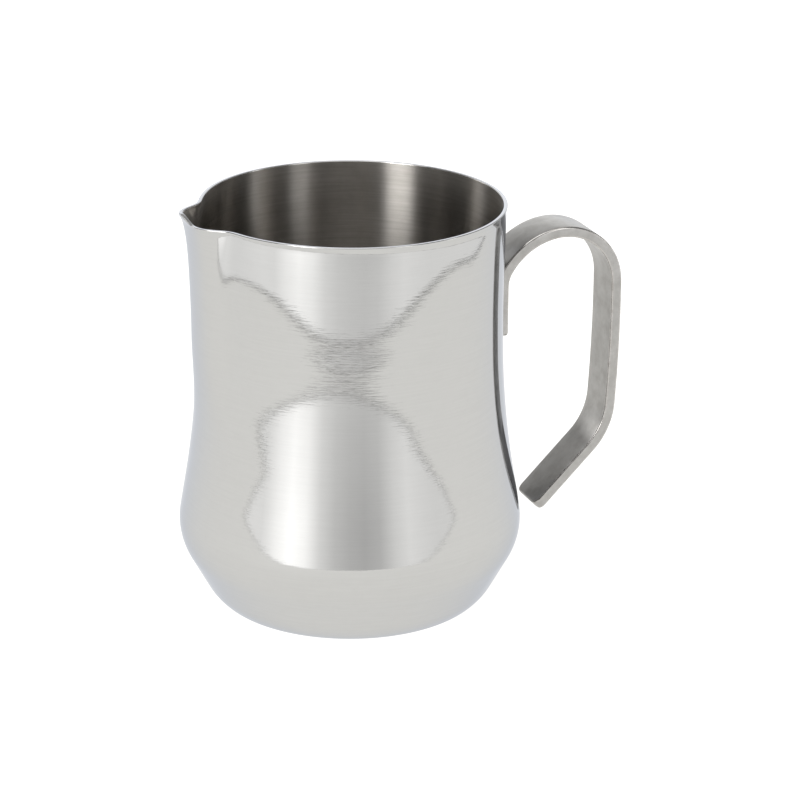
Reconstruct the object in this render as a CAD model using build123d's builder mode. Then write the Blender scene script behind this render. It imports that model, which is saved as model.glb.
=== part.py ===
from build123d import *

import os
from math import cos, degrees, exp, hypot, radians, sin, sqrt, tan

# Half-litre milk frothing pitcher: a bellied steel cup with a pressed pouring spout and a bent strap handle.
#
# Frame: millimetres, +Z up. The origin is the centre of the resting face, the handle points along +X
# and the spout along -X, so the XZ plane is the plane of symmetry.

# ---- cup: thickness and outside profile, from the base up ----
wall = 0.8
base_radius = 30.5
panel_radius = 24.0
panel_rise = 0.5
panel_ramp = 1.5
corner_radius = 6.15
corner_turn = 42.2
bend_radius = 14.3
flank_angle = 61.3
flank_length = 9.2
belly_radius = 16.5
shoulder_lean = 9.65
shoulder_length = 9.15
neck_radius = 251.5
lip_lean = 1.2
rim_height = 105.0
lip_height = 2.0
lip_flare = 0.25
rim_edge = 0.2

# ---- spout: how far the wall is pushed out, and how that fades down the neck ----
split_height = 40.0
join_tolerance = 0.001
neck_step = 2.5
neck_levels = 28
section_points = 120
slope_step = 0.01
spout_reach = 4.1
spout_pinch = 1.6
spout_half_angle = 16.9
spout_squareness = 4.8
pinch_half_angle = 54.0
ridge_share = 0.53
ridge_taper = 0.0035
ridge_full_depth = 32.4
ridge_end_depth = 59.4
spout_flare_length = 4.4
tip_rise = 1.5
dip_depth = 0.35
dip_offset = 5.5
dip_end = 35.0
trim_reach = 60.0
trim_split = 10.0
trim_height = 20.0
rim_band = 3.0

# ---- handle: a flat bar bent in the plane of symmetry ----
bar_width = 12.2
bar_thickness = 2.75
bar_edge = 0.45
foot_sink = 0.5
foot_bottom = 66.75
foot_length = 13.4
root_radius = 8.1
root_turn = 31.0
rise_radius = 18.4
rise_turn = 51.3
knuckle_radius = 14.95
knuckle_turn = 97.1
grip_radius = 452.0
grip_length = 33.2
heel_radius = 18.4
heel_turn = 41.1
tail_length = 21.0
foot_corner = 1.5
tail_corner = 2.0

# ---- spot welds between the handle foot and the neck ----
weld_radius = 1.5
weld_depth = 0.4
weld_heights = (69.5, 73.7, 77.9)


def waist():
    """Radius and height of the narrowest point of the neck, outside."""
    corner = radians(corner_turn)
    flank = radians(flank_angle)
    lean = radians(shoulder_lean)
    radius = base_radius + corner_radius * sin(corner) + bend_radius * (sin(flank) - sin(corner))
    height = corner_radius * (1 - cos(corner)) + bend_radius * (cos(corner) - cos(flank))
    radius += flank_length * cos(flank) + belly_radius * (cos(lean) - sin(flank))
    height += flank_length * sin(flank) + belly_radius * (cos(flank) + sin(lean))
    radius -= shoulder_length * sin(lean)
    height += shoulder_length * cos(lean)
    return radius - neck_radius * (1 - cos(lean)), height + neck_radius * sin(lean)


waist_radius, waist_height = waist()
lean_height = waist_height + neck_radius * sin(radians(lip_lean))


def wall_radius(z, inset):
    """Radius of the round neck at height z, inset from the outside face by a thickness."""
    arc = neck_radius + inset
    centre = waist_radius + neck_radius
    along = min(z, lean_height) - waist_height
    radius = centre - sqrt(arc**2 - along**2)
    if z > lean_height:
        radius += (z - lean_height) * tan(radians(lip_lean))
    return radius


def lip_swell(z):
    """Thickening of the wall outwards towards the rim."""
    return lip_flare * min(max((z - rim_height + lip_height) / lip_height, 0), 1) ** 2


def spout_share(z):
    """Share of the full spout depth at height z: a flare at the rim over a ridge that dies out."""
    depth = rim_height - z
    fade = (ridge_end_depth - depth) / (ridge_end_depth - ridge_full_depth)
    fade = min(max(fade, 0), 1)
    ridge = (ridge_share - ridge_taper * max(depth, 0)) * fade**2 * (3 - 2 * fade)
    return ridge + (1 - ridge_share) * exp(-depth / spout_flare_length)


def swell(angle):
    """Outward shift of the rim at an angle in degrees from the spout, with a pinch beside it."""
    nose = exp(-((abs(angle) / spout_half_angle) ** spout_squareness))
    side = exp(-((angle / pinch_half_angle) ** 2))
    return (spout_reach + spout_pinch) * nose - spout_pinch * side


def section_point(z, angle, inset):
    """Point of the neck section at height z and an angle from the spout, inset from the outside."""
    share = spout_share(z)
    base = wall_radius(z, 0)
    radius = base + share * swell(angle)
    change = swell(angle + slope_step) - swell(angle - slope_step)
    slope = share * change / radians(2 * slope_step)
    thickness = base - wall_radius(z, inset)
    if inset == 0:
        thickness = -lip_swell(z)
    length = hypot(radius, slope)
    inward = thickness * radius / length
    sideways = thickness * slope / length
    a = radians(180 + angle)
    x = (radius - inward) * cos(a) - sideways * sin(a)
    y = (radius - inward) * sin(a) + sideways * cos(a)
    return (x, y)


def neck_section(z, inset):
    """Outline of the neck at height z as points set out from the handle side round to it again."""
    turn = 360 / section_points
    return [section_point(z, turn * i - 180, inset) for i in range(section_points)]


def belly_solid(inset):
    """The filled lower cup, turned about the axis from the resting face up to the split height."""
    with BuildPart() as belly_part:
        with BuildSketch(Plane.XZ):
            with BuildLine():
                panel = Line((0, inset + panel_rise), (panel_radius, inset + panel_rise))
                ramp = Line(panel @ 1, (panel_radius + panel_ramp, inset))
                floor = Line(ramp @ 1, (base_radius, inset))
                corner = JernArc(floor @ 1, floor % 1, corner_radius - inset, corner_turn)
                bend = JernArc(corner @ 1, corner % 1, bend_radius - inset, flank_angle - corner_turn)
                flank = Line(bend @ 1, bend @ 1 + (bend % 1) * flank_length)
                belly_turn = 90 - flank_angle + shoulder_lean
                belly = JernArc(flank @ 1, flank % 1, belly_radius - inset, belly_turn)
                shoulder = Line(belly @ 1, belly @ 1 + (belly % 1) * shoulder_length)
                neck_start = (wall_radius(split_height, inset), split_height)
                neck = TangentArc(shoulder @ 1, neck_start, tangent=shoulder % 1)
                top = Line(neck @ 1, (0, split_height))
                Line(top @ 1, panel @ 0)
            make_face()
        revolve(axis=Axis.Z)
    return belly_part.part


def neck_solid(inset):
    """The filled neck and spout, lofted from the split height to past the rim."""
    with BuildPart() as neck_part:
        for level in range(neck_levels):
            z = split_height + level * neck_step
            with BuildSketch(Plane.XY.offset(z)):
                with BuildLine():
                    Spline(neck_section(z, inset), periodic=True)
                make_face()
        loft()
    return neck_part.part


def cup_solid(inset):
    """The filled cup, its surface inset from the outside by a thickness."""
    return belly_solid(inset).fuse(neck_solid(inset), tol=join_tolerance)


def rim_trim():
    """Everything above the rim, which lies flat but for the spout, where it dips and rises to a tip."""
    with BuildPart() as tool:
        with BuildSketch(Plane.YZ.offset(-trim_reach)):
            with BuildLine():
                left = Line((-trim_reach, rim_height), (-dip_end, rim_height))
                crest = Spline(
                    left @ 1,
                    (-dip_offset, rim_height - dip_depth),
                    (0, rim_height + tip_rise),
                    (dip_offset, rim_height - dip_depth),
                    (dip_end, rim_height),
                    tangents=[(1, 0)] * 5,
                )
                right = Line(crest @ 1, (trim_reach, rim_height))
                above = rim_height + trim_height
                Polyline(right @ 1, (trim_reach, above), (-trim_reach, above), left @ 0)
            make_face()
        extrude(amount=trim_reach - trim_split)
        with BuildSketch(Plane.XY.offset(rim_height)):
            with Locations(((trim_reach - trim_split) / 2, 0)):
                Rectangle(trim_reach + trim_split, 2 * trim_reach)
        extrude(amount=trim_height)
    return tool.part


def bent_bar():
    """The strap handle before its foot is pressed to the neck."""
    foot_radius = wall_radius(waist_height, 0) - foot_sink + bar_thickness / 2
    with BuildPart() as strap:
        with BuildLine(Plane.XZ) as path:
            foot = Line((foot_radius, foot_bottom), (foot_radius, foot_bottom + foot_length))
            root = JernArc(foot @ 1, foot % 1, root_radius, -root_turn)
            rise = JernArc(root @ 1, root % 1, rise_radius, -rise_turn)
            knuckle = JernArc(rise @ 1, rise % 1, knuckle_radius, -knuckle_turn)
            grip_turn = degrees(grip_length / grip_radius)
            grip = JernArc(knuckle @ 1, knuckle % 1, grip_radius, -grip_turn)
            heel = JernArc(grip @ 1, grip % 1, heel_radius, -heel_turn)
            Line(heel @ 1, heel @ 1 + (heel % 1) * tail_length)
        with BuildSketch(Plane(origin=foot @ 0, x_dir=(1, 0, 0), z_dir=(0, 0, 1))):
            Rectangle(bar_thickness, bar_width)
        sweep(path=path)
        free_end = faces().sort_by(Axis.Z)[0]
        across = free_end.edges().filter_by(Axis.Y, reverse=True)
        fillet(across, tail_corner)
        foot_face = faces().filter_by(Axis.Z).sort_by(Axis.X)[0]
        fillet(foot_face.edges().filter_by(Axis.X), foot_corner)
        fillet(faces().filter_by(Axis.Y).edges(), bar_edge)
    return strap.part


def weld_nuggets():
    """The fused discs of the spot welds, half in the neck and half in the handle foot."""
    with BuildPart() as discs:
        for height in weld_heights:
            with BuildSketch(Plane.YZ.offset(waist_radius - weld_depth)):
                with Locations((0, height)):
                    Circle(weld_radius)
            extrude(amount=2 * weld_depth)
    return discs.part


outside = cup_solid(0)
inside = cup_solid(wall)
above_rim = rim_trim()
nuggets = weld_nuggets()
bar = bent_bar()

# ---- spot welds, sealed between the neck and the handle foot ----
with BuildPart() as handle_spot_welds:
    add(nuggets)

# ---- cup ----
with BuildPart() as pitcher_body:
    add(outside)
    add(inside, mode=Mode.SUBTRACT)
    add(above_rim, mode=Mode.SUBTRACT)
    rim = edges().filter_by_position(Axis.Z, rim_height - rim_band / 3, rim_height + rim_band)
    fillet(rim.filter_by(GeomType.LINE, reverse=True), rim_edge)
    add(nuggets, mode=Mode.SUBTRACT)

# ---- handle ----
with BuildPart() as handle:
    add(bar)
    add(outside, mode=Mode.SUBTRACT)
    add(nuggets, mode=Mode.SUBTRACT)

pitcher_body.part.label = "pitcher_body"
handle.part.label = "handle"
handle_spot_welds.part.label = "handle_spot_welds"

os.makedirs("parts", exist_ok=True)
export_step(pitcher_body.part, "parts/pitcher_body.step")
export_step(handle.part, "parts/handle.step")
export_step(handle_spot_welds.part, "parts/handle_spot_welds.step")
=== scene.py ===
"""Looks, light and camera for the milk frothing pitcher. Metres, +Z up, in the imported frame."""

import math

import bpy
import numpy as np
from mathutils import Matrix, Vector


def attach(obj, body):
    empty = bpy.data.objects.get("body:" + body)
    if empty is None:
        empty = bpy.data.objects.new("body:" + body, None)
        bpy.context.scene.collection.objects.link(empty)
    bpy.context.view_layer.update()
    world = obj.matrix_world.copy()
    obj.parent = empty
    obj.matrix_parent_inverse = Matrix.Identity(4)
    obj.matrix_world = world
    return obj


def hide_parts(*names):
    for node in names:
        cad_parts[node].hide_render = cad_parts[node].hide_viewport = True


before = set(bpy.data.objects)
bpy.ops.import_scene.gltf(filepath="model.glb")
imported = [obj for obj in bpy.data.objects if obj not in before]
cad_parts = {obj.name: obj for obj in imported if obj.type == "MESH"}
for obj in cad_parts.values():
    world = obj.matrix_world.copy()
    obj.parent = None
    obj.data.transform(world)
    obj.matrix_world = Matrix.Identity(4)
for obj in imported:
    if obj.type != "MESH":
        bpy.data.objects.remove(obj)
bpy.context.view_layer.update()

MM = 0.001

# ---- the cup, in millimetres and degrees, with the CAD model's values ----
WALL = 0.8
BASE_RADIUS = 30.5
PANEL_RADIUS = 24.0
PANEL_RISE = 0.5
PANEL_RAMP = 1.5
CORNER_RADIUS = 6.15
CORNER_TURN = 42.2
BEND_RADIUS = 14.3
FLANK_ANGLE = 61.3
FLANK_LENGTH = 9.2
BELLY_RADIUS = 16.5
SHOULDER_LEAN = 9.65
SHOULDER_LENGTH = 9.15
NECK_RADIUS = 251.5
LIP_LEAN = 1.2
RIM_HEIGHT = 105.0
LIP_HEIGHT = 2.0
LIP_FLARE = 0.25
RIM_EDGE = 0.2

# ---- the spout ----
SPLIT_HEIGHT = 40.0
SPOUT_REACH = 4.1
SPOUT_PINCH = 1.6
SPOUT_HALF_ANGLE = 16.9
SPOUT_SQUARENESS = 4.8
PINCH_HALF_ANGLE = 54.0
RIDGE_SHARE = 0.53
RIDGE_TAPER = 0.0035
RIDGE_FULL_DEPTH = 32.4
RIDGE_END_DEPTH = 59.4
SPOUT_FLARE_LENGTH = 4.4
TIP_RISE = 1.5
DIP_DEPTH = 0.35
DIP_OFFSET = 5.5
DIP_END = 35.0
SPOUT_SIDE = 90.0

# ---- faint waviness of the spun neck: height, spread and depth of each ripple ----
SPINNING_RIPPLES = ((72.6, 10.9, 0.15), (56.5, 8.3, 0.043))

# ---- the handle bar ----
BAR_WIDTH = 12.2
BAR_THICKNESS = 2.75
BAR_EDGE = 0.45
FOOT_SINK = 0.5
FOOT_BOTTOM = 66.75
FOOT_LENGTH = 13.4
BENDS = ((8.1, 31.0), (18.4, 51.3), (14.95, 97.1))
GRIP_RADIUS = 452.0
GRIP_LENGTH = 33.2
HEEL = (18.4, 41.1)
TAIL_LENGTH = 21.0
FOOT_CORNER = 1.5
TAIL_CORNER = 2.0
LEAST_FLAT = 0.1
LEAST_EDGE = 0.05
TOUCHING_ABOVE = 60.0

# ---- how finely the meshes are cut: points of each stretch, and steps in degrees and mm ----
PANEL_POINTS = 8
RESTING_POINTS = 4
CORNER_POINTS = 12
BEND_POINTS = 9
FLANK_POINTS = 9
BELLY_POINTS = 34
SHOULDER_POINTS = 6
WAIST_POINTS = 7
NECK_POINTS = 90
NECK_CROWDING = 1.35
ROUNDING_POINTS = 5
LIP_POINTS = 4
CLOSE_ANGLE = 40.0
CLOSE_STEP = 0.6
WIDE_STEP = 2.0
SLOPE_STEP = 0.01
BAR_STEP = 0.45
BAR_END_PARTS = 4
BAR_CORNER_POINTS = 6
SHARP_ANGLE = 50.0
FLOOR_POINTS = 160

# ---- the bar's faces, as the order of its materials: outside; rounded edges, lighter steel as a painted highlight; inside, darker steel as painted shade ----
OUTER_FINISH, EDGE_HIGHLIGHT_AND_WEAR, INNER_SHADE_AND_WEAR = 0, 1, 2

# ---- steel: tint of its limb and of its worn patches. Each noise has a scale, a detail and
# ---- a roughness, and the stretch of its values that is used ----
NO_TINT = (1.0, 1.0, 1.0)
EDGE_TINT = (0.79, 0.82, 0.89)
WORN_TINT = (0.60, 0.57, 0.54)
GRAIN_NOISE, GRAIN_SPAN = (1.0, 3.0, 0.6), (0.3, 0.7)
PATCH_NOISE, PATCH_SPAN = (330.0, 4.0, 0.62), (0.44, 0.66)
CLOUD_NOISE, CLOUD_SPAN = (55.0, 2.0, 0.5), (0.3, 0.7)
ROUND_THE_AXIS = 0.25

# ---- camera: where it stands round the object, how far off and how long its lens is ----
CAMERA_AZIMUTH = -109.46
CAMERA_ELEVATION = 20.06
CAMERA_DISTANCE = 0.8103
CAMERA_LENS = 142.6
SENSOR_WIDTH = 36
AIM_HEIGHT = 0.05064
SHIFT_RIGHT = 0.0628
SHIFT_UP = 0.0084

# ---- floor, and the oval table top that the steel reflects: half-widths right, front, back ----
CENTRE = (0.0001, 0.0001, 0.0001)
FLOOR_HALF_WIDTHS = (12.0, 12.0, 12.0)
TABLE_HALF_WIDTHS = (0.310, 0.259, 3.0)
TABLE_EDGE = 0.004
TABLE_HEIGHT = 0.0001
MATT = 0.9
GLOW_COLOUR = (1.0, 0.995, 0.975)
FLOOR_GREY, FLOOR_GLOW = 0.30, 0.95
# the table's rim glows less than its top: painted shade of the table's edge, seen only in the steel
TABLE_GREY, TABLE_GLOW, TABLE_EDGE_GLOW = 0.10, 0.885, 0.28

# ---- the softbox overhead ----
SOFTBOX_PLACE = (-0.3, -0.3, 1.6)
SOFTBOX_SIZE = 1.8
SOFTBOX_POWER = 12

# ---- light all round. Each stop is a bearing, counted from the camera's in degrees and
# ---- growing to the camera's right, with the brightness of the light from there ----
LIGHT_RANGE = 12.0
EVEN_LIGHT, EVEN_SHARE = 1.05, 0.5
TOP_LIGHT, TOP_SHARE = 0.2, 0.85
EVEN_FADE = (-0.05, -0.35)
TOP_FADE = (0.15, 0.65)
LOW_TO_HIGH = (0.08, 0.20)
BLUE = (1.04, 1.08, 1.15)
LOW_LIGHT = (
    (-180, BLUE),
    (-165, BLUE),
    (-155, 0.95),
    (-135, 0.86),
    (-115, 0.97),
    (-90, 1.05),
    (-70, 1.16),
    (-60, 1.15),
    (-50, 1.52),
    (-40, 1.78),
    (-30, 1.57),
    (-20, 1.05),
    (-10, 0.80),
    (0, 0.68),
    (10, 0.62),
    (20, 0.69),
    (30, 0.96),
    (40, 1.12),
    (50, 1.04),
    (60, 0.98),
    (90, 1.0),
    (140, 0.95),
    (160, 1.0),
    (172, BLUE),
    (180, BLUE),
)
HIGH_LIGHT = (
    (-180, 1.7),
    (-165, 1.55),
    (-150, 0.8),
    (-139, 0.35),
    (-130, 0.2),
    (-122, 3.4),
    (-115, 3.4),
    (-109, 0.06),
    (-62, 0.05),
    (-52, 0.05),
    (-46, 11.0),
    (-32, 11.0),
    (-26, 0.05),
    (30, 0.05),
    (36, 3.6),
    (44, 3.6),
    (50, 0.05),
    (74, 0.05),
    (78, 4.2),
    (82, 4.2),
    (86, 0.06),
    (140, 0.1),
    (165, 1.4),
    (180, 1.7),
)


def rad(degrees):
    return math.radians(degrees)


# ---------------------------------------------------------------- shape of the cup


def waist():
    """Radius and height of the narrowest ring of the neck."""
    corner, flank, lean = rad(CORNER_TURN), rad(FLANK_ANGLE), rad(SHOULDER_LEAN)
    radius = BASE_RADIUS + CORNER_RADIUS * math.sin(corner)
    radius += BEND_RADIUS * (math.sin(flank) - math.sin(corner)) + FLANK_LENGTH * math.cos(flank)
    radius += BELLY_RADIUS * (math.cos(lean) - math.sin(flank)) - SHOULDER_LENGTH * math.sin(lean)
    height = CORNER_RADIUS * (1 - math.cos(corner))
    height += BEND_RADIUS * (math.cos(corner) - math.cos(flank)) + FLANK_LENGTH * math.sin(flank)
    height += BELLY_RADIUS * (math.cos(flank) + math.sin(lean)) + SHOULDER_LENGTH * math.cos(lean)
    return radius - NECK_RADIUS * (1 - math.cos(lean)), height + NECK_RADIUS * math.sin(lean)


WAIST_RADIUS, WAIST_HEIGHT = waist()
LEAN_HEIGHT = WAIST_HEIGHT + NECK_RADIUS * math.sin(rad(LIP_LEAN))


def wall_radius(z, inset):
    """Radius of the neck at height z, inset being how far into the sheet."""
    along = np.minimum(z, LEAN_HEIGHT) - WAIST_HEIGHT
    radius = WAIST_RADIUS + NECK_RADIUS - np.sqrt((NECK_RADIUS + inset) ** 2 - along**2)
    for height, spread, depth in SPINNING_RIPPLES:
        radius = radius + depth * np.exp(-(((z - height) / spread) ** 2))
    return radius + np.maximum(z - LEAN_HEIGHT, 0) * math.tan(rad(LIP_LEAN))


def lip_swell(z):
    """How far the thickened lip stands out from the wall at height z."""
    return LIP_FLARE * np.clip((z - RIM_HEIGHT + LIP_HEIGHT) / LIP_HEIGHT, 0, 1) ** 2


def spout_share(z):
    """How much of the spout's shape at the rim is left at height z."""
    depth = RIM_HEIGHT - z
    fade = np.clip((RIDGE_END_DEPTH - depth) / (RIDGE_END_DEPTH - RIDGE_FULL_DEPTH), 0, 1)
    ridge = (RIDGE_SHARE - RIDGE_TAPER * np.maximum(depth, 0)) * fade**2 * (3 - 2 * fade)
    return ridge + (1 - RIDGE_SHARE) * np.exp(-depth / SPOUT_FLARE_LENGTH)


def swell(angle):
    """How far the rim stands out at an angle from the spout, less where its sides pull in."""
    nose = np.exp(-((np.abs(angle) / SPOUT_HALF_ANGLE) ** SPOUT_SQUARENESS))
    side = np.exp(-((angle / PINCH_HALF_ANGLE) ** 2))
    return (SPOUT_REACH + SPOUT_PINCH) * nose - SPOUT_PINCH * side


def neck_points(z, angle, inset):
    """Points of the neck at heights z and angles in degrees from the spout, in millimetres."""
    share = spout_share(z)
    base = wall_radius(z, 0)
    radius = base + share * swell(angle)
    change = swell(angle + SLOPE_STEP) - swell(angle - SLOPE_STEP)
    slope = share * change / rad(2 * SLOPE_STEP)
    swollen = lip_swell(z)
    thickness = base - wall_radius(z, WALL) + swollen
    thickness = thickness * inset / WALL - swollen
    length = np.hypot(radius, slope)
    inward = radius - thickness * radius / length
    sideways = thickness * slope / length
    a = np.radians(180 + angle)
    x = inward * np.cos(a) - sideways * np.sin(a)
    y = inward * np.sin(a) + sideways * np.cos(a)
    return np.stack([x, y, np.broadcast_to(z, x.shape)], -1)


def rim_height(y):
    """Height of the rim above a point y across the spout: a dip each side of a raised tip."""
    across = np.abs(y)
    inner = across / DIP_OFFSET
    crest = TIP_RISE - (TIP_RISE + DIP_DEPTH) * inner**2 * (3 - 2 * inner)
    outer = np.clip((across - DIP_OFFSET) / (DIP_END - DIP_OFFSET), 0, 1)
    dip = -DIP_DEPTH * (1 - outer**2 * (3 - 2 * outer))
    return RIM_HEIGHT + np.where(inner < 1, crest, dip)


def belly_profile(inset):
    """Radius and height of the turned lower cup from the centre of the base up to the split."""
    corner, flank, lean = rad(CORNER_TURN), rad(FLANK_ANGLE), rad(SHOULDER_LEAN)
    points = [(r, inset + PANEL_RISE) for r in np.linspace(0, PANEL_RADIUS, PANEL_POINTS)]
    resting = np.linspace(PANEL_RADIUS + PANEL_RAMP, BASE_RADIUS, RESTING_POINTS)
    points += [(r, inset) for r in resting]

    def arc(radius, start, end, count):
        r, z = points[-1]
        r, z = r - radius * math.sin(start), z + radius * math.cos(start)
        for t in np.linspace(start, end, count)[1:]:
            points.append((r + radius * math.sin(t), z - radius * math.cos(t)))

    arc(CORNER_RADIUS - inset, 0, corner, CORNER_POINTS)
    arc(BEND_RADIUS - inset, corner, flank, BEND_POINTS)
    r, z = points[-1]
    for along in np.linspace(0, FLANK_LENGTH, FLANK_POINTS)[1:]:
        points.append((r + along * math.cos(flank), z + along * math.sin(flank)))
    arc(BELLY_RADIUS - inset, flank, math.pi / 2 + lean, BELLY_POINTS)
    r, z = points[-1]
    for along in np.linspace(0, SHOULDER_LENGTH, SHOULDER_POINTS)[1:]:
        points.append((r - along * math.sin(lean), z + along * math.cos(lean)))
    for z in np.linspace(points[-1][1], SPLIT_HEIGHT, WAIST_POINTS)[1:]:
        points.append((float(wall_radius(z, inset)), z))
    return points


def cup_angles():
    """Angles from the spout in degrees, closer together round the spout."""
    close = np.arange(-CLOSE_ANGLE, CLOSE_ANGLE, CLOSE_STEP)
    wide = np.arange(CLOSE_ANGLE, 360 - CLOSE_ANGLE, WIDE_STEP)
    return (np.concatenate([close, wide]) + 180) % 360 - 180


def ring_faces(rings, count):
    """Four-sided faces between neighbouring closed rings of count points."""
    faces = []
    for i in range(rings - 1):
        low, high = i * count, (i + 1) * count
        for j in range(count):
            k = (j + 1) % count
            faces.append((low + j, low + k, high + k, high + j))
    return faces


def cup_mesh():
    """One closed skin: up the outside, over the rim and down the inside."""
    angle = cup_angles()
    turn = np.radians(180 + angle)
    rows = []

    def ring(r, z):
        rows.append(np.stack([r * np.cos(turn), r * np.sin(turn), np.full(len(turn), z)], -1))

    def neck_row(share, inset, drop):
        rim = neck_points(RIM_HEIGHT, angle, inset)
        top = np.where(np.abs(angle) < SPOUT_SIDE, rim_height(rim[:, 1]), RIM_HEIGHT) - drop
        rows.append(neck_points(SPLIT_HEIGHT + (top - SPLIT_HEIGHT) * share, angle, inset))

    outer = belly_profile(0.0)
    inner = belly_profile(WALL)
    for r, z in outer[1:]:
        ring(r, z)
    shares = 1 - (1 - np.linspace(0, 1, NECK_POINTS)[1:]) ** NECK_CROWDING
    for share in shares:
        neck_row(share, 0.0, RIM_EDGE)
    quarter = np.linspace(0, math.pi / 2, ROUNDING_POINTS)
    rounding = [(RIM_EDGE * (1 - math.cos(t)), RIM_EDGE * (1 - math.sin(t))) for t in quarter]
    for inset, drop in rounding[1:]:
        neck_row(1.0, inset, drop)
    for inset in np.linspace(RIM_EDGE, WALL - RIM_EDGE, LIP_POINTS)[1:-1]:
        neck_row(1.0, inset, 0.0)
    for inset, drop in rounding[::-1]:
        neck_row(1.0, WALL - inset, drop)
    rim_row = len(rows) - 1
    for share in shares[-2::-1]:
        neck_row(share, WALL, RIM_EDGE)
    for r, z in inner[:0:-1]:
        ring(r, z)

    count = len(angle)
    vertices = np.concatenate(rows + [np.array([[0, 0, outer[0][1]], [0, 0, inner[0][1]]])])
    faces = ring_faces(len(rows), count)
    inside = [i // count >= rim_row for i in range(len(faces))] + [False, True] * count
    bottom, top = len(vertices) - 2, len(vertices) - 1
    last = (len(rows) - 1) * count
    for j in range(count):
        k = (j + 1) % count
        faces.append((bottom, k, j))
        faces.append((top, last + j, last + k))
    return vertices * MM, faces, inside


# ---------------------------------------------------------------- shape of the handle


def bar_path():
    """Centreline of the bar in the XZ plane: points, headings in radians and distances along."""
    x = WAIST_RADIUS - FOOT_SINK + BAR_THICKNESS / 2
    z, heading, run = FOOT_BOTTOM, math.pi / 2, 0.0
    stations = [(x, z, heading, run)]
    *rise, heel = [(radius * rad(turn), radius) for radius, turn in (*BENDS, HEEL)]
    straight_foot, grip, tail = (FOOT_LENGTH, None), (GRIP_LENGTH, GRIP_RADIUS), (TAIL_LENGTH, None)
    for length, radius in (straight_foot, *rise, grip, heel, tail):
        count = max(2, math.ceil(length / BAR_STEP))
        for _ in range(count):
            move = length / count
            turn = 0 if radius is None else -move / radius
            x += move * math.cos(heading + turn / 2)
            z += move * math.sin(heading + turn / 2)
            heading += turn
            run += move
            stations.append((x, z, heading, run))
    return stations


def refined(stations):
    """The same stations, with more of them where the ends of the bar are rounded."""
    length = stations[-1][3]
    more = []
    for here, there in zip(stations, stations[1:]):
        near = min(here[3], length - there[3]) < max(FOOT_CORNER, TAIL_CORNER)
        parts = BAR_END_PARTS if near else 1
        for part in range(parts):
            more.append(tuple(a + (b - a) * part / parts for a, b in zip(here, there)))
    return more + [stations[-1]]


def corner_loss(radius, distance):
    """How far a corner of this radius has drawn in at a distance from the end."""
    if distance >= radius:
        return 0.0
    return radius - math.sqrt(max(radius**2 - (radius - distance) ** 2, 0))


def bar_section(width, thickness, edge):
    """Rounded rectangle: across the width and through the thickness."""
    points = []
    for sx, sy, start in ((1, 1, 0), (-1, 1, 90), (-1, -1, 180), (1, -1, 270)):
        cx, cy = sx * (width / 2 - edge), sy * (thickness / 2 - edge)
        for t in np.linspace(start, start + 90, BAR_CORNER_POINTS):
            points.append((cx + edge * math.cos(rad(t)), cy + edge * math.sin(rad(t))))
    return points


def bar_mesh():
    """The bar's skin, with the side that meets the cup laid on the cup's wall."""
    stations = refined(bar_path())
    length = stations[-1][3]
    rows = []
    for x, z, heading, run in stations:
        shrink = corner_loss(BAR_EDGE, min(run, length - run))
        width = BAR_WIDTH - 2 * corner_loss(FOOT_CORNER, run)
        width -= 2 * corner_loss(TAIL_CORNER, length - run)
        width = max(width, 2 * BAR_EDGE + LEAST_FLAT)
        edge = max(BAR_EDGE - shrink, LEAST_EDGE)
        side = Vector((math.sin(heading), -math.cos(heading)))
        section = bar_section(width - 2 * shrink, BAR_THICKNESS - 2 * shrink, edge)
        rows.append([(x + v * side.x, u, z + v * side.y) for u, v in section])

    vertices = np.array([point for row in rows for point in row])
    x, y, z = vertices.T
    radius = wall_radius(z, 0)
    buried = (np.hypot(x, y) < radius) & (z > TOUCHING_ABOVE)
    vertices[:, 0] = np.where(buried, np.sqrt(np.maximum(radius**2 - y**2, 0)), x)

    count = len(rows[0])
    faces = ring_faces(len(rows), count)
    # the rounded edges take the lighter, glossier steel: a painted highlight, with real worn
    # patches
    corner = [EDGE_HIGHLIGHT_AND_WEAR] * (BAR_CORNER_POINTS - 1)
    # the inside face, towards the cup, takes the darker steel: painted shade
    around = corner + [INNER_SHADE_AND_WEAR] + (corner + [OUTER_FINISH]) * 3
    faces.append(tuple(range(count - 1, -1, -1)))
    faces.append(tuple(range((len(rows) - 1) * count, len(rows) * count)))
    return vertices * MM, faces, around * (len(rows) - 1) + [OUTER_FINISH] * 2


def new_object(name, vertices, faces, materials, face_materials=None):
    """Smooth-shaded mesh object in the scene; face_materials gives each face its material's number.
    """
    mesh = bpy.data.meshes.new(name)
    mesh.from_pydata(vertices.tolist(), [], faces)
    for material in materials:
        mesh.materials.append(material)
    if face_materials is not None:
        mesh.polygons.foreach_set("material_index", [int(number) for number in face_materials])
    mesh.update()
    mesh.shade_smooth()
    mesh.set_sharp_from_angle(angle=rad(SHARP_ANGLE))
    obj = bpy.data.objects.new(name, mesh)
    bpy.context.scene.collection.objects.link(obj)
    return obj


# ---------------------------------------------------------------- materials


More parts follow.
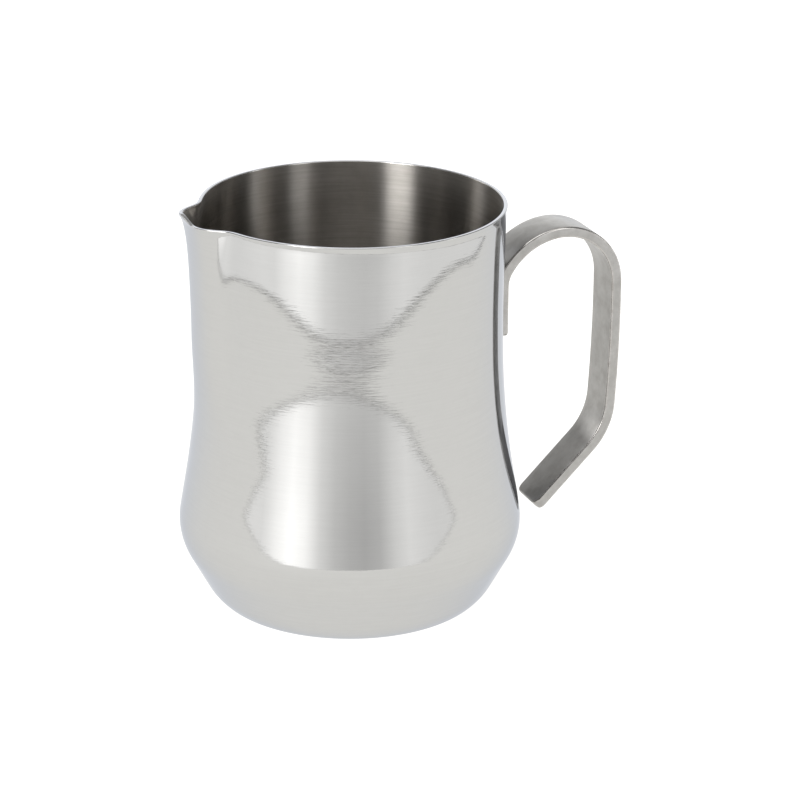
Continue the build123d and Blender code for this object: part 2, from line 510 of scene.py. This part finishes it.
class Graph:
    """Short names for building the nodes of one material or world."""

    def __init__(self, tree):
        self.nodes, self.links = tree.nodes, tree.links

    def add(self, kind, inputs=(), **settings):
        node = self.nodes.new(kind)
        for name, value in settings.items():
            setattr(node, name, value)
        for socket, value in dict(inputs).items():
            self.put(node.inputs[socket], value)
        return node

    def put(self, socket, value):
        """Link a socket to another one, or set its value."""
        if isinstance(value, bpy.types.NodeSocket):
            self.links.new(value, socket)
        else:
            socket.default_value = value

    def noise(self, vector, settings):
        scale, detail, rough = settings
        values = {"Vector": vector, "Scale": scale, "Detail": detail, "Roughness": rough}
        return self.add("ShaderNodeTexNoise", values).outputs["Fac"]

    def stretched(self, vector, scale):
        values = {"Vector": vector, "Scale": scale}
        return self.add("ShaderNodeMapping", values).outputs["Vector"]

    def spread(self, value, ends, results):
        """Map the stretch between two ends to the one between two results."""
        values = {"Value": value, "From Min": ends[0], "From Max": ends[1]}
        values.update({"To Min": results[0], "To Max": results[1]})
        return self.add("ShaderNodeMapRange", values).outputs["Result"]

    def blend(self, factor, first, second):
        node = self.add("ShaderNodeMix", data_type="RGBA")
        colours = [socket for socket in node.inputs if socket.type == "RGBA"]
        for socket, value in zip((node.inputs["Factor"], *colours), (factor, first, second)):
            self.put(socket, value)
        return [socket for socket in node.outputs if socket.type == "RGBA"][0]

    def math(self, operation, *values):
        node = self.add("ShaderNodeMath", operation=operation)
        for socket, value in zip(node.inputs, values):
            self.put(socket, value)
        return node.outputs["Value"]


def steel(name, dark, light, roughness, grain_scale, grain_depth, wear, turned=0.0, edge=NO_TINT):
    """Bare steel with a fine grain, cloudy gloss and, as far as wear says, dull patches.

    turned is how far the marks of spinning round Z draw the gloss out; edge tints the limb.
    """
    material = bpy.data.materials.new(name)
    material.use_nodes = True
    graph = Graph(material.node_tree)
    shader = material.node_tree.nodes["Principled BSDF"]
    shader.inputs["Metallic"].default_value = 1.0
    shader.inputs["Anisotropic"].default_value = turned
    shader.inputs["Specular Tint"].default_value = (*edge, 1)
    place = graph.add("ShaderNodeTexCoord").outputs["Object"]
    grain = graph.noise(graph.stretched(place, grain_scale), GRAIN_NOISE)
    colour = graph.blend(graph.spread(grain, GRAIN_SPAN, (0, 1)), (*dark, 1), (*light, 1))
    patches = graph.spread(graph.noise(place, PATCH_NOISE), PATCH_SPAN, (0.0, wear))
    worn = [level * tint for level, tint in zip(dark, WORN_TINT)]
    graph.put(shader.inputs["Base Color"], graph.blend(patches, colour, (*worn, 1)))
    clouds = graph.spread(graph.noise(place, CLOUD_NOISE), CLOUD_SPAN, roughness)
    graph.put(shader.inputs["Roughness"], clouds)
    values = {"Strength": 1.0, "Distance": grain_depth, "Height": grain}
    bump = graph.add("ShaderNodeBump", values)
    graph.put(shader.inputs["Normal"], bump.outputs["Normal"])
    if turned:
        tangent = graph.add("ShaderNodeTangent", direction_type="RADIAL", axis="Z")
        graph.put(shader.inputs["Tangent"], tangent.outputs["Tangent"])
        shader.inputs["Anisotropic Rotation"].default_value = ROUND_THE_AXIS
    return material


def plain(name, grey, glow):
    """Even matt surface that glows a little, as a light table does."""
    material = bpy.data.materials.new(name)
    material.use_nodes = True
    shader = material.node_tree.nodes["Principled BSDF"]
    shader.inputs["Base Color"].default_value = (grey, grey, grey, 1)
    shader.inputs["Roughness"].default_value = MATT
    shader.inputs["Emission Color"].default_value = (*GLOW_COLOUR, 1)
    shader.inputs["Emission Strength"].default_value = glow
    return material


outside_steel = steel(
    "cup_outside_steel",
    dark=(0.600, 0.597, 0.586),
    light=(0.615, 0.612, 0.600),
    roughness=(0.015, 0.035),
    grain_scale=(80, 80, 2200),
    grain_depth=2.7e-6,
    wear=0.02,
    turned=0.5,
    edge=EDGE_TINT,
)
# inside of the cup: satin steel turned round the axis, with real worn patches, made darker as
# painted shade
inside_shade_and_wear_steel = steel(
    "cup_inside_shade_and_wear_steel",
    dark=(0.42, 0.397, 0.367),
    light=(0.50, 0.477, 0.447),
    roughness=(0.285, 0.325),
    grain_scale=(60, 60, 1800),
    grain_depth=2.4e-6,
    wear=0.12,
    turned=1.0,
)
bar_steel = steel(
    "handle_steel",
    dark=(0.42, 0.412, 0.396),
    light=(0.52, 0.512, 0.496),
    roughness=(0.285, 0.36),
    grain_scale=(260, 260, 260),
    grain_depth=5e-6,
    wear=0.2,
)
# inside of the handle's loop, facing the cup: the bar steel made darker as painted shade, with real
# worn patches
inner_bar_shade_and_wear_steel = steel(
    "handle_inner_shade_and_wear_steel",
    dark=(0.34, 0.332, 0.318),
    light=(0.41, 0.402, 0.388),
    roughness=(0.29, 0.34),
    grain_scale=(220, 220, 220),
    grain_depth=6e-6,
    wear=0.3,
)
# the bar's rounded edges: steel made lighter as a painted highlight, glossier, and with real worn
# patches
edge_highlight_and_wear_steel = steel(
    "handle_edge_highlight_and_wear_steel",
    dark=(0.50, 0.485, 0.465),
    light=(0.62, 0.60, 0.58),
    roughness=(0.10, 0.16),
    grain_scale=(500, 500, 500),
    grain_depth=3e-6,
    wear=0.45,
)

# ---------------------------------------------------------------- pieces

cup_vertices, cup_faces, cup_inside = cup_mesh()
cup = new_object("cup", cup_vertices, cup_faces, [outside_steel, inside_shade_and_wear_steel], cup_inside)
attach(cup, "root")
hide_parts("pitcher_body")

bar_vertices, bar_faces, bar_face_materials = bar_mesh()
bar_materials = [bar_steel, edge_highlight_and_wear_steel, inner_bar_shade_and_wear_steel]
bar = new_object("handle_bar", bar_vertices, bar_faces, bar_materials, bar_face_materials)
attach(bar, "root")
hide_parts("handle")

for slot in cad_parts["handle_spot_welds"].material_slots:
    slot.material = bar_steel


# ---------------------------------------------------------------- floor, light and camera


def flat_ring(name, inner, outer, height, material, turn):
    """Flat ring between two ovals, each with half-widths right, front and back."""
    points = []
    for right, ahead, back in (inner, outer):
        for i in range(FLOOR_POINTS):
            a = 2 * math.pi * i / FLOOR_POINTS
            x = right * math.cos(a)
            y = (ahead if math.sin(a) > 0 else back) * math.sin(a)
            across = x * math.cos(turn) - y * math.sin(turn)
            away = x * math.sin(turn) + y * math.cos(turn)
            points.append((across, away, height))
    faces = []
    for i in range(FLOOR_POINTS):
        j = (i + 1) % FLOOR_POINTS
        faces.append((i, FLOOR_POINTS + i, FLOOR_POINTS + j, j))
    obj = new_object(name, np.array(points), faces, [material])
    return obj


floor_white = plain("floor_white", FLOOR_GREY, FLOOR_GLOW)
table_white = plain("table_white", TABLE_GREY, TABLE_GLOW)
# the table's rim: a dim glowing ring, painted shade of the table's edge, seen only in the steel's
# reflections
edge_shade = plain("table_edge_shade", TABLE_GREY, TABLE_EDGE_GLOW)

# the front of the table, which is its own +Y, is turned to the camera's place
facing = rad(CAMERA_AZIMUTH - 90)
right, ahead, back = TABLE_HALF_WIDTHS
edge_half_widths = (right + TABLE_EDGE, ahead + TABLE_EDGE, back)
floor = flat_ring("floor", CENTRE, FLOOR_HALF_WIDTHS, 0.0, floor_white, 0.0)
floor.visible_glossy = False
for name, inner, outer, material in (
    ("table_top", CENTRE, TABLE_HALF_WIDTHS, table_white),
    ("table_edge", TABLE_HALF_WIDTHS, edge_half_widths, edge_shade),
):
    table = flat_ring(name, inner, outer, TABLE_HEIGHT, material, facing)
    table.visible_camera = False
    table.visible_diffuse = False
    table.visible_shadow = False


def aim(obj, place, target):
    """Put a light or the camera in the scene at a place, looking at a target."""
    obj.location = place
    obj.rotation_euler = (target - place).to_track_quat("-Z", "Y").to_euler()
    bpy.context.scene.collection.objects.link(obj)


softbox = bpy.data.lights.new("top_softbox", "AREA")
softbox.shape = "RECTANGLE"
softbox.size = softbox.size_y = SOFTBOX_SIZE
softbox.energy = SOFTBOX_POWER
aim(bpy.data.objects.new("top_softbox", softbox), Vector(SOFTBOX_PLACE), Vector((0, 0, 0)))

world = bpy.data.worlds.new("studio")
bpy.context.scene.world = world
world.use_nodes = True
graph = Graph(world.node_tree)
direction = graph.add("ShaderNodeTexCoord").outputs["Generated"]
split = graph.add("ShaderNodeSeparateXYZ", {"Vector": direction})
bearing = graph.math("ARCTAN2", split.outputs["Y"], split.outputs["X"])
turns = graph.math("MULTIPLY_ADD", bearing, 1 / (2 * math.pi), 0.5 - CAMERA_AZIMUTH / 360)
around = graph.math("FRACT", turns)


def ramp(stops):
    """Colour of the light by its bearing, as a share of the light's range."""
    node = graph.add("ShaderNodeValToRGB", {"Fac": around})
    elements = node.color_ramp.elements
    for degrees, value in stops:
        position = degrees / 360 + 0.5
        if position == 0:
            element = elements[0]
        elif position == 1:
            element = elements[-1]
        else:
            element = elements.new(position)
        tint = value if isinstance(value, tuple) else (value, value, value)
        element.color = (*[channel / LIGHT_RANGE for channel in tint], 1)
    return node.outputs["Color"]


def even_light(brightness):
    """The same brightness all round, as a share of the light's range."""
    return (*[brightness / LIGHT_RANGE] * 3, 1)


upward = split.outputs["Z"]
even = graph.spread(upward, EVEN_FADE, (0.0, EVEN_SHARE))
near_light = graph.blend(even, ramp(LOW_LIGHT), even_light(EVEN_LIGHT))
height = graph.spread(upward, TOP_FADE, (0.0, TOP_SHARE))
high_light = graph.blend(height, ramp(HIGH_LIGHT), even_light(TOP_LIGHT))
rise = graph.spread(upward, LOW_TO_HIGH, (0.0, 1.0))
background = world.node_tree.nodes["Background"]
graph.put(background.inputs["Color"], graph.blend(rise, near_light, high_light))
background.inputs["Strength"].default_value = LIGHT_RANGE

bpy.context.scene.view_settings.view_transform = "Standard"

camera = bpy.data.cameras.new("camera")
camera.lens = CAMERA_LENS
camera.sensor_width = SENSOR_WIDTH
camera.shift_x = SHIFT_RIGHT
camera.shift_y = SHIFT_UP
azimuth, elevation = rad(CAMERA_AZIMUTH), rad(CAMERA_ELEVATION)
level = math.cos(elevation)
away = Vector((math.cos(azimuth) * level, math.sin(azimuth) * level, math.sin(elevation)))
target = Vector((0, 0, AIM_HEIGHT))
viewer = bpy.data.objects.new("camera", camera)
aim(viewer, target + away * CAMERA_DISTANCE, target)
bpy.context.scene.camera = viewer
